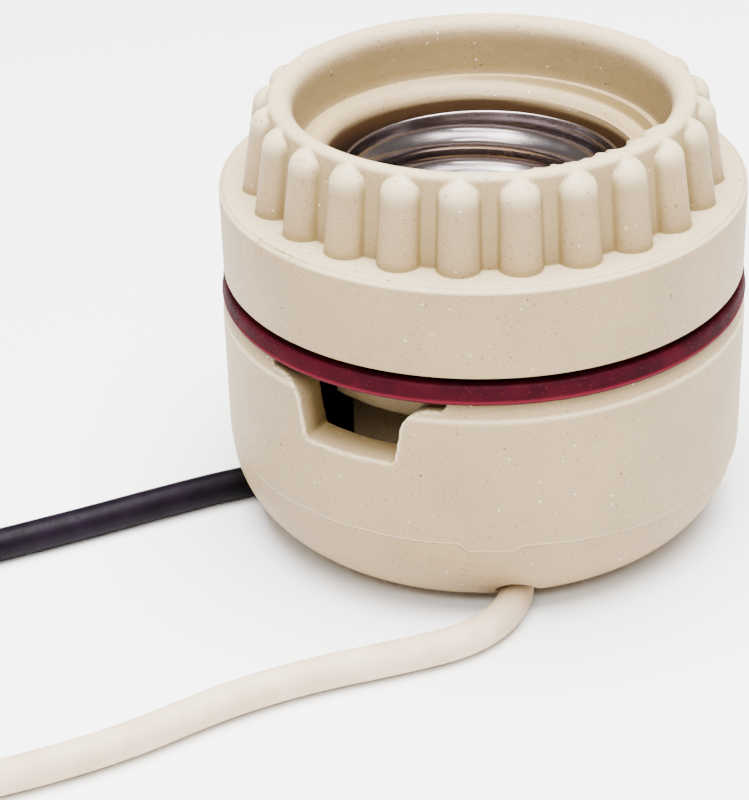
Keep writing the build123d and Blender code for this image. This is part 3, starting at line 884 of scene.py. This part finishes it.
def on_chipped_edge(angle, radius, height):
    """Chips the flange's upper edge. Gives the radius, the height and its painted highlight, less where it is
    chipped.
    """
    chip = ragged(angle, CHIPPED_EDGE, 0.5) + 0.3 * ragged(angle, RUBBED_EDGE, 0.5)
    highlight = math.sin(math.pi * clamp((FLANGE_TOP - height) / FLANGE_ROUND)) * (1 - 0.5 * chip)
    return radius - CHIP_DEPTH * chip, height - CHIP_DEPTH * chip, highlight


def make_clamp_ring():
    """Ring with a flange, a ribbed collar, a rounded lip with a broken edge and a threaded bore."""
    corners = [
        (RING_BORE, RING_BOTTOM, 0.4 * MM),
        (FLANGE_RADIUS, RING_BOTTOM, 0.35 * MM),
        (FLANGE_RADIUS, FLANGE_TOP, FLANGE_ROUND),
        (COLLAR_FOOT_RADIUS, FLANGE_TOP, 0),
        (COLLAR_TOP_RADIUS, RING_TOP, LIP_OUTER_ROUND),
        (RING_BORE, RING_TOP, LIP_INNER_ROUND),
    ]
    outline = divided(rounded_outline(corners), ring_run)
    piece = turned("ribbed_clamp_ring", outline, RING_SIDES)
    face_end = FLANGE_RADIUS - FLANGE_ROUND
    lip_start = RING_TOP - LIP_INNER_ROUND
    lip_end = RING_BORE + LIP_INNER_ROUND
    hollows = []
    worn = []
    for vertex in piece.data.vertices:
        place = vertex.co
        angle, radius = polar(place)
        height = place.z
        hollow = 0.0
        highlight = 0.0
        in_bore = radius < RING_BORE + TOUCH
        on_collar = height > FLANGE_TOP + TOUCH and radius > lip_end
        on_face = abs(height - FLANGE_TOP) <= TOUCH and radius < face_end
        if on_collar or on_face:
            angle, radius, hollow, highlight = on_ribs(angle, radius, height, on_collar)
        elif in_bore and height < NECK_TOP:
            fade = ease((NECK_TOP - height) / (1.0 * MM)) * ease((height - RING_BOTTOM) / (1.0 * MM))
            radius -= RING_THREAD_DEPTH * (1 - thread_wave(angle, height, THREAD_LEAD)) * fade
        elif in_bore and height < lip_start:
            # Painted shade on the bore's wall below the lip
            hollow = 0.5 * ease((lip_start - height) / (0.8 * MM))
        elif radius < lip_end + TOUCH and height > lip_start:
            radius, height, highlight = on_broken_lip(angle, radius, height)
        elif height > FLANGE_TOP - FLANGE_ROUND and radius > face_end:
            radius, height, highlight = on_chipped_edge(angle, radius, height)
        vertex.co = on_ray(angle, radius, height)
        hollows.append(clamp(hollow))
        worn.append(clamp(highlight))
    set_attributes(piece, hollow=hollows, worn=worn)
    smooth_shaded(piece, 50.0)
    return dressed(piece, PORCELAIN, "ring", ["clamp_ring"])


# Gasket

def make_gasket():
    """Washer with a slightly uneven edge and a thin flared line near its lower face."""
    outer = gasket_high.x
    low, high = gasket_low.z, gasket_high.z
    corners = [
        (RING_BORE, low, 0),
        (outer - GASKET_FLARE, low, 0),
        (outer, low + GASKET_LINE_HEIGHT, 0),
        (outer - GASKET_FLARE, low + 0.5 * MM, 0),
        (outer - 0.16 * MM, high - 0.35 * MM, 0),
        (outer - 0.4 * MM, high, 0.2 * MM),
        (RING_BORE, high, 0),
    ]
    outline = rounded_outline(corners, 3)
    piece = turned("maroon_gasket", outline, GASKET_SIDES)
    edge_line = []
    for vertex in piece.data.vertices:
        place = vertex.co
        angle, radius = polar(place)
        near_line = 1 - abs(place.z - low - GASKET_LINE_HEIGHT) / (0.15 * MM)
        edge_line.append(clamp(near_line) if radius > outer - 0.2 * MM else 0.0)
        if radius > outer - 1.0 * MM:
            rough = noise.noise(Vector((math.cos(angle), math.sin(angle), 0)) * 9) * GASKET_ROUGHNESS
            radius = min(outer, radius - abs(rough))
        vertex.co = on_ray(angle, radius, place.z)
    set_attributes(piece, edge_line=edge_line)
    smooth_shaded(piece, 40.0)
    return dressed(piece, GASKET_RUBBER, "gasket", ["gasket"])


# Base cup

def parting_height(angle):
    """Height of the mould's parting line round the cup, with its jog in front."""
    degrees = math.degrees(angle)
    height = PARTING_HEIGHT - JOG_DROP * ease((degrees - JOG_START) / JOG_RUN)
    if JOG_END < degrees < PARTING_END:
        past_jog = degrees - JOG_END
        height += JOG_RISE * ease(past_jog / JOG_END_RUN) - PARTING_FALL * past_jog
    wobble = noise.noise(Vector((math.cos(angle), math.sin(angle), 3)) * 7) * PARTING_WOBBLE
    return height + wobble


def notch_outline():
    """Outline of the notch's cutter: sill, leaning sides, rounded shoulders and the shallow relief."""
    shoulder = SEAT_HEIGHT - RELIEF_DEPTH
    right = [(NOTCH_SILL_HALF, NOTCH_SILL)]
    steps = 8
    for step in range(steps + 1):
        turn = math.pi / 2 * step / steps
        across = NOTCH_TOP_HALF + NOTCH_ROUND * (1 - math.cos(turn))
        height = shoulder - NOTCH_ROUND * (1 - math.sin(turn))
        right.append((across, height))
    right.append((RELIEF_HALF, shoulder))
    right.append((RELIEF_HALF, SEAT_HEIGHT + RELIEF_DEPTH))
    left = [(-across, height) for across, height in reversed(right)]
    return right + left


def lead_way_cutters(angle, table_points):
    """Slanted hole and floor channel that a lead takes out of the cup."""
    bend_in = on_ray(angle, LEAD_BEND_IN, LEAD_HEIGHT_INSIDE)
    bend_out = on_ray(angle, LEAD_BEND_OUT, LEAD_HEIGHT_ON_TABLE)
    slant = (bend_out - bend_in).normalized() * EXIT_HOLE_OVERRUN
    first_x, first_y = table_points[0]
    way = Vector((first_x * MM - bend_out.x, first_y * MM - bend_out.y, 0)).normalized()
    channel_in = Vector((bend_out.x, bend_out.y, CHANNEL_HEIGHT))
    slot = rod_cutter("channel_slot", channel_in, channel_in + way * CHANNEL_LENGTH, CHANNEL_RADIUS)
    for vertex in slot.data.vertices:
        if vertex.co.z < CHANNEL_HEIGHT - TOUCH:
            vertex.co.z = -MM
    return [
        rod_cutter("slanted_way", bend_in - slant, bend_out + slant, EXIT_HOLE_RADIUS),
        rod_cutter("channel_way", channel_in, channel_in + way * CHANNEL_LENGTH, CHANNEL_RADIUS),
        slot,
    ]


def close_poles(piece):
    """Closes the tiny holes that the outline leaves on the axis."""
    select_only(piece)
    bpy.ops.object.mode_set(mode="EDIT")
    bpy.ops.mesh.select_all(action="SELECT")
    bpy.ops.mesh.remove_doubles(threshold=0.05 * MM)
    bpy.ops.mesh.delete_loose()
    bpy.ops.mesh.select_all(action="SELECT")
    bpy.ops.mesh.normals_make_consistent(inside=False)
    bpy.ops.object.mode_set(mode="OBJECT")


def make_cup():
    """Cup with its notch, lead ways, recessed foot and parting line."""
    corners = [
        (FOOT_RECESS_RADIUS, 0.0, 0),
        (CUP_RADIUS, 0.0, CUP_CORNER),
        (CUP_RADIUS, SEAT_HEIGHT - SEAT_CHAMFER_HEIGHT, 0),
        (CUP_RADIUS - SEAT_CHAMFER_WIDTH, SEAT_HEIGHT, 0),
        (CUP_RADIUS - CUP_WALL, SEAT_HEIGHT, 0),
        (CUP_RADIUS - CUP_WALL, CUP_FLOOR_TOP, CUP_INNER_CORNER),
        (POLE_RADIUS, CUP_FLOOR_TOP, 0),
        (POLE_RADIUS, FOOT_RECESS_DEPTH, 0),
        (FOOT_RECESS_RADIUS, FOOT_RECESS_DEPTH, 0),
    ]
    piece = turned("notched_base_cup", rounded_outline(corners, steps=16), CUP_SIDES)
    close_poles(piece)
    cutters = [prism("notch_way", notch_outline(), NOTCH_CUT_START, NOTCH_CUT_LENGTH)]
    cutters += lead_way_cutters(BLACK_EXIT_ANGLE, BLACK_TABLE_POINTS)
    cutters += lead_way_cutters(WHITE_EXIT_ANGLE, WHITE_TABLE_POINTS)
    cut_with(piece, cutters)
    softened(piece, CUP_VOXEL, rounds=2, share=0.5)
    mark_cup(piece)
    smooth_shaded(piece, 60.0)
    return dressed(piece, PORCELAIN, "base", ["base_cup"])


def mark_cup(piece):
    """Steps the cup in below its parting line, and stores its painted highlights on edges, its painted shade
    in the notch and under the gasket, and its painted deep shade on the notch's left wall.
    """
    worn = worn_edges(piece)
    hollows = []
    seams = []
    soots = []
    for vertex in piece.data.vertices:
        place = vertex.co
        angle, radius = polar(place)
        rise = place.z - parting_height(angle)
        if radius > CUP_RADIUS - CUP_WALL + 1.2 * MM - max(0.0, CUP_CORNER - place.z) * 0.75:
            below = ease(0.5 - rise / (0.2 * MM)) * ease(place.z / (6 * MM))
            vertex.co = on_ray(angle, radius - PARTING_STEP * below, place.z)
        depth = CUP_RADIUS - radius
        beside_notch = abs(place.x) < NOTCH_TOP_HALF + 2.2 * MM and place.y < 0
        in_notch = beside_notch and place.z > NOTCH_SILL - 0.6 * MM
        on_left_wall = in_notch and place.x < -NOTCH_SILL_HALF + 0.1 * MM
        hollow = 0.0
        # Painted shade on the notch's walls, stronger on the left one
        if in_notch:
            hollow = ease((depth - 0.7 * MM) / (2.2 * MM)) * (0.9 if on_left_wall else 0.55)
        # Painted shade in a band at the top of the cup, under the gasket; painted highlight along the foot of
        # the chamfer
        seat_band = ease((place.z - (SEAT_HEIGHT - 0.8 * MM)) / (0.7 * MM))
        chamfer_foot = 1 - abs(place.z - SEAT_HEIGHT + SEAT_CHAMFER_HEIGHT) / (0.35 * MM)
        if depth < 0.3 * MM:
            worn[vertex.index] = max(worn[vertex.index], 0.9 * ease(chamfer_foot))
        hollows.append(clamp(max(hollow, 0.5 * seat_band)))
        seams.append(clamp(SEAM_LINE + rise / SEAM_REACH, SEAM_LOWEST))
        # Painted deep shade on the notch's left wall
        soots.append(0.24 * ease((depth - 0.8 * MM) / (1.5 * MM)) if on_left_wall else 0.0)
    set_attributes(piece, worn=worn, hollow=hollows, seam=seams, soot=soots)


# Socket core

def run_out_drop(angle):
    """How far the neck's inner edge lies below its outer ridge: the run-out of the thread at the back."""
    degrees = math.degrees(angle) % 360
    if degrees > RUN_OUT_START:
        return 0.0
    fade = ease((degrees + 5) / RUN_OUT_FADE)
    return RUN_OUT_DEPTH * (RUN_OUT_START - degrees) / RUN_OUT_SPAN * fade


def core_run(place):
    """Longest run of the core's outline at a place: short near the top of the neck."""
    if place.y > NECK_TOP - 3 * MM:
        return 0.2 * MM
    return 0.7 * MM


def across_groove(place, angle):
    """Distance of a place from the middle plane of a wire groove."""
    return abs(place.y * math.cos(angle) - place.x * math.sin(angle))


def thread_neck(piece):
    """Gives the neck its thread outside and the run-out of the thread at its top."""
    for vertex in piece.data.vertices:
        place = vertex.co
        angle, radius = polar(place)
        if radius > NECK_RADIUS - 0.5 * MM and place.z > SEAT_HEIGHT + 0.5 * MM:
            fade = ease((place.z - SEAT_HEIGHT - 0.5 * MM) / (1.5 * MM))
            fade *= ease((NECK_TOP - 0.4 * MM - place.z) / (1.5 * MM))
            depth = THREAD_DEPTH * (1 - thread_wave(angle, place.z, THREAD_LEAD)) * fade
            vertex.co = on_ray(angle, radius - depth, place.z)
        elif radius < RUN_OUT_STEP + 0.2 * MM and place.z > NECK_TOP - 2 * MM:
            inside_step = ease((RUN_OUT_STEP + 0.2 * MM - radius) / (0.35 * MM))
            near_top = ease((place.z - NECK_TOP + 2 * MM) / (1.5 * MM))
            vertex.co.z = place.z - run_out_drop(angle) * inside_step * near_top


def mark_core(piece):
    """Stores the painted shade beside the thread's run-out, and the painted deep shade in its ways and on its
    bore's wall.
    """
    hollows = []
    soots = []
    for vertex in piece.data.vertices:
        place = vertex.co
        angle, radius = polar(place)
        below_seat = place.z < SEAT_HEIGHT - 0.02 * MM
        in_groove = across_groove(place, GROOVE_ANGLE) < GROOVE_WIDTH / 2 + 0.02 * MM
        soot = 0.0
        # Painted deep shade, near black, in the wire grooves and passages
        if below_seat and in_groove and PASSAGE_FLOOR - 0.1 * MM < radius < CORE_COLLAR_RADIUS - 0.3 * MM:
            soot = 1.0
        elif radius < CORE_BORE + 0.45 * MM and place.z > CORE_LEDGE_TOP:
            # Painted deep shade on the bore's wall below the neck's inner edge
            edge = NECK_TOP - 1.1 * MM - run_out_drop(angle)
            soot = 0.55 * ease((edge - place.z) / (0.5 * MM))
            soot += 0.25 * ease((edge - 0.8 * MM - place.z) / (1.5 * MM))
        hollow = 0.0
        # Painted shade beside the step of the thread's run-out
        if place.z > NECK_TOP - 2 * MM and not below_seat:
            beside_step = 1 - abs(radius - RUN_OUT_STEP) / (0.35 * MM)
            hollow = 0.9 * ease(beside_step) * ease((run_out_drop(angle) - 0.35 * MM) / (0.3 * MM))
        hollows.append(hollow)
        soots.append(soot)
    set_attributes(piece, hollow=hollows, soot=soots)


def make_core():
    """Core with its threaded neck, collar, barrel, stepped floor, wire grooves and passages."""
    corners = [
        (CORE_RECESS_RADIUS, CUP_FLOOR_TOP, 0),
        (BARREL_RADIUS, CUP_FLOOR_TOP, 0),
        (BARREL_RADIUS, CORE_COLLAR_BOTTOM, 0.3 * MM),
        (CORE_COLLAR_RADIUS, CORE_COLLAR_BOTTOM, 0.4 * MM),
        (CORE_COLLAR_RADIUS, SEAT_HEIGHT, 0),
        (NECK_RADIUS, SEAT_HEIGHT, 0),
        (NECK_RADIUS, NECK_TOP, 0.12 * MM),
        (CORE_BORE, NECK_TOP, 1.35 * MM),
        (CORE_BORE, CORE_LEDGE_TOP, 0.2 * MM),
        (CORE_WELL_RADIUS, CORE_LEDGE_TOP, 0.3 * MM),
        (CORE_WELL_RADIUS, CORE_FLOOR_TOP, 0.2 * MM),
        (POLE_RADIUS, CORE_FLOOR_TOP, 0),
        (POLE_RADIUS, CORE_FLOOR_BOTTOM, 0),
        (CORE_RECESS_RADIUS, CORE_FLOOR_BOTTOM, 0),
    ]
    outline = divided(rounded_outline(corners), core_run)
    piece = turned("threaded_core", outline, CORE_SIDES)
    close_poles(piece)
    thread_neck(piece)
    cutters = []
    for turn in (math.pi / 2, -math.pi / 2):
        angle = GROOVE_ANGLE + turn
        groove = block_outline(GROOVE_WIDTH, CUP_FLOOR_TOP - MM, SEAT_HEIGHT - 0.05 * MM)
        passage = block_outline(GROOVE_WIDTH, CUP_FLOOR_TOP - MM, PASSAGE_TOP)
        cutters.append(prism("wire_groove", groove, GROOVE_FLOOR, 4 * MM, angle))
        cutters.append(prism("wire_passage", passage, PASSAGE_FLOOR, 7 * MM, angle))
    window = block_outline(WINDOW_WIDTH, CUP_FLOOR_TOP - MM, CORE_FLOOR_BOTTOM)
    for angle in (BLACK_EXIT_ANGLE, WHITE_EXIT_ANGLE):
        cutters.append(prism("lead_window", window, CORE_RECESS_RADIUS - MM, 6 * MM, angle + math.pi / 2))
    cut_with(piece, cutters)
    mark_core(piece)
    smooth_shaded(piece, 40.0)
    return dressed(piece, PORCELAIN, "base", ["socket_core"])


# Screw shell

def make_shell():
    """Thin shell with a rolled thread, a rolled rim and a floor ring."""
    inner = SHELL_RADIUS - SHELL_SHEET
    corners = [
        (SHELL_FLOOR_HOLE, SHELL_BOTTOM, 0),
        (SHELL_RADIUS, SHELL_BOTTOM, SHELL_CORNER + SHELL_SHEET),
        (SHELL_RADIUS, SHELL_TOP, 0.19 * MM),
        (inner, SHELL_TOP, 0.19 * MM),
        (inner, SHELL_BOTTOM + SHELL_SHEET, SHELL_CORNER),
        (SHELL_FLOOR_HOLE, SHELL_BOTTOM + SHELL_SHEET, 0),
    ]
    outline = divided(rounded_outline(corners, 4), lambda place: 0.2 * MM)
    piece = turned("rolled_screw_shell", outline, SHELL_SIDES)
    for vertex in piece.data.vertices:
        place = vertex.co
        angle, radius = polar(place)
        if radius > inner - 0.1 * MM:
            fade = ease((SHELL_TOP - 0.5 * MM - place.z) / (1.4 * MM))
            fade *= ease((place.z - SHELL_BOTTOM - MM) / (2 * MM))
            depth = SHELL_WAVE * (1 - thread_wave(angle + SHELL_WAVE_TURN, place.z, SHELL_PITCH)) * fade
            vertex.co = on_ray(angle, radius - depth, place.z)
    smooth_shaded(piece, 50.0)
    return dressed(piece, SHELL_METAL, "base", ["screw_shell"])


# Leads

def route_of(angle, table_points):
    """Points of a lead's route, as the solids have them, in metres."""
    inside = [
        on_ray(angle, LEAD_START, LEAD_HEIGHT_INSIDE),
        on_ray(angle, LEAD_BEND_IN, LEAD_HEIGHT_INSIDE),
        on_ray(angle, LEAD_BEND_OUT, LEAD_HEIGHT_ON_TABLE),
    ]
    return inside + [Vector((x * MM, y * MM, LEAD_HEIGHT_ON_TABLE)) for x, y in table_points]


def make_lead(name, angle, table_points, material, replaced):
    """Insulated wire as a smooth tube along its route, in place of the solid's lead."""
    points = route_of(angle, table_points)
    curve = bpy.data.curves.new(name, "CURVE")
    curve.dimensions = "3D"
    curve.bevel_depth = LEAD_RADIUS
    curve.bevel_resolution = 10
    curve.resolution_u = 24
    curve.use_fill_caps = True
    spline = curve.splines.new("NURBS")
    spline.points.add(len(points) - 1)
    for slot_point, point in zip(spline.points, points):
        slot_point.co = (*point, 1.0)
    spline.order_u = 3
    spline.use_endpoint_u = True
    lead = bpy.data.objects.new(name, curve)
    bpy.context.scene.collection.objects.link(lead)
    lead.data.materials.append(material)
    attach(lead, "base")
    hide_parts(replaced)
    return lead


# Small metal pieces keep the solids' meshes

def dress_node(name, material):
    """Gives a solid's own mesh a material."""
    node = nodes[name]
    node.data.materials.clear()
    node.data.materials.append(material)


# Stage

def add_light(name, place, size, power):
    """Rectangular area light that faces the socket."""
    deselect_all()
    bpy.ops.object.light_add(type="AREA", location=place)
    lamp = bpy.context.object
    lamp.name = name
    lamp.data.shape = "RECTANGLE"
    lamp.data.size, lamp.data.size_y = size
    lamp.data.energy = power
    direction = Vector(LIGHT_TARGET) - Vector(place)
    lamp.rotation_mode = "QUATERNION"
    lamp.rotation_quaternion = direction.to_track_quat("-Z", "Y")


def make_stage():
    """Pale floor, the surround and soft light from above."""
    deselect_all()
    bpy.ops.mesh.primitive_plane_add(size=FLOOR_SIZE, location=(0, 0, 0))
    floor = bpy.context.object
    floor.name = "pale_floor"
    floor.data.materials.append(floor_material())

    world = bpy.data.worlds.new("soft_surround")
    bpy.context.scene.world = world
    world.use_nodes = True
    background = world.node_tree.nodes["Background"]
    background.inputs[0].default_value = SURROUND_COLOUR
    background.inputs[1].default_value = SURROUND_STRENGTH

    for name, facts in LIGHTS.items():
        add_light(name, *facts)


def make_camera():
    """Camera at the photograph's place."""
    data = bpy.data.cameras.new("photo_camera")
    camera = bpy.data.objects.new("photo_camera", data)
    bpy.context.scene.collection.objects.link(camera)
    backward = CAMERA_RIGHT.cross(CAMERA_UP).normalized()
    up = backward.cross(CAMERA_RIGHT).normalized()
    right = up.cross(backward).normalized()
    turned_axes = Matrix((right, up, backward)).transposed().to_4x4()
    camera.matrix_world = Matrix.Translation(EYE) @ turned_axes
    data.lens = CAMERA_LENS
    data.sensor_width = 36.0
    data.clip_start = 0.01
    data.clip_end = 20.0
    bpy.context.scene.camera = camera


make_camera()
make_stage()
for brass_node in (
    "shell_rivets", "centre_contact", "centre_rivet", "centre_terminal", "shell_terminal", "threaded_inserts",
):
    dress_node(brass_node, CONTACT_BRASS)
dress_node("base_screws", PLATED_STEEL)
dress_node("black_conductor", COPPER)
dress_node("white_conductor", COPPER)
make_lead(
    "black_wire", BLACK_EXIT_ANGLE, BLACK_TABLE_POINTS, BLACK_SKIN,
    "black_lead",
)
make_lead(
    "white_wire", WHITE_EXIT_ANGLE, WHITE_TABLE_POINTS, WHITE_SKIN,
    "white_lead",
)
make_shell()
make_core()
make_cup()
make_gasket()
make_clamp_ring()
